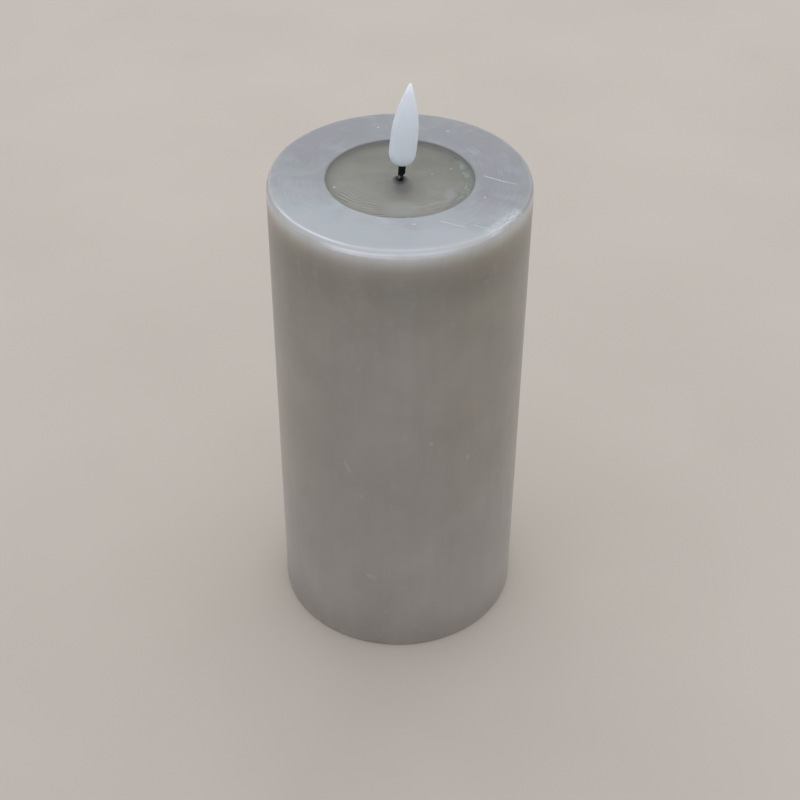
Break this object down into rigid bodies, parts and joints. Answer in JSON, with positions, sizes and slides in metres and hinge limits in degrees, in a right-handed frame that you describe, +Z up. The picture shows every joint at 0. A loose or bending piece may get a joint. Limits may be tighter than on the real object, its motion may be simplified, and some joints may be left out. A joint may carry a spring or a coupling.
{
  "type": "led pillar candle",
  "caption": "Wax pillar candle with a leaning frosted flame on a short black wick over a poured pool, and a battery base with a hinged door and slide switch.",
  "frame": {"origin": "centre of the ring that the candle stands on, in the plane of the table", "axes": "+Z up along the candle's axis, -Y towards the front, +X to the right seen from the front"},
  "size_m": [0.075, 0.075, 0.1809],
  "materials": {
    "wax": "satin",
    "pool_wax": "satin",
    "frosted_plastic": "satin",
    "black_sleeve": "matte",
    "lamp_resin": "gloss",
    "tinned_wire": "satin",
    "grey_plastic": "satin",
    "red_wire": "satin",
    "black_wire": "satin",
    "housing_plastic": "satin",
    "door_plastic": "satin",
    "glue": "gloss",
    "nickel_plate": "satin",
    "spring_steel": "polished",
    "cell_jacket": "gloss",
    "screw_steel": "satin",
    "board_laminate": "satin",
    "chip_resin": "matte",
    "crystal_can": "polished",
    "resistor_ceramic": "satin",
    "capacitor_can": "gloss",
    "switch_steel": "satin",
    "knob_plastic": "satin"
  },
  "bodies": {
    "candle": {"wax_body": "wax", "wax_pool": "pool_wax", "flame_bulb": "frosted_plastic", "wick_sleeve": "black_sleeve", "led_lamp": "lamp_resin", "led_legs": "tinned_wire", "led_holder": "grey_plastic", "solder_sleeves": "black_sleeve", "led_wire_red": "red_wire", "led_wire_black": "black_wire", "base_housing": "housing_plastic", "base_glue": "glue", "battery_cell_a": "cell_jacket", "battery_cell_b": "cell_jacket", "bay_cap": "housing_plastic", "cap_screws": "screw_steel", "contact_positive": "nickel_plate", "contact_negative": "nickel_plate", "negative_spring": "spring_steel", "battery_wire_red": "red_wire", "battery_wire_black": "black_wire", "circuit_board": "board_laminate", "board_screws": "screw_steel", "timer_chip": "chip_resin", "crystal": "crystal_can", "chip_resistors": "resistor_ceramic", "smoothing_capacitor": "capacitor_can", "switch_frame": "switch_steel", "switch_base": "grey_plastic", "switch_pins": "tinned_wire"},
    "door": {"battery_door": "door_plastic", "door_contact": "nickel_plate", "door_spring": "spring_steel"},
    "knob": {"switch_knob": "knob_plastic"}
  },
  "joints": [
    {"name": "door_hinge", "type": "hinge", "parent": "candle", "child": "door", "pos_m": [0, 0.0106, 0.0029], "axis": [1, 0, 0], "range_deg": [0, 95]},
    {"name": "switch_slide", "type": "slide", "parent": "candle", "child": "knob", "axis": [1, 0, 0], "range_m": [0, 0.004]}
  ]
}
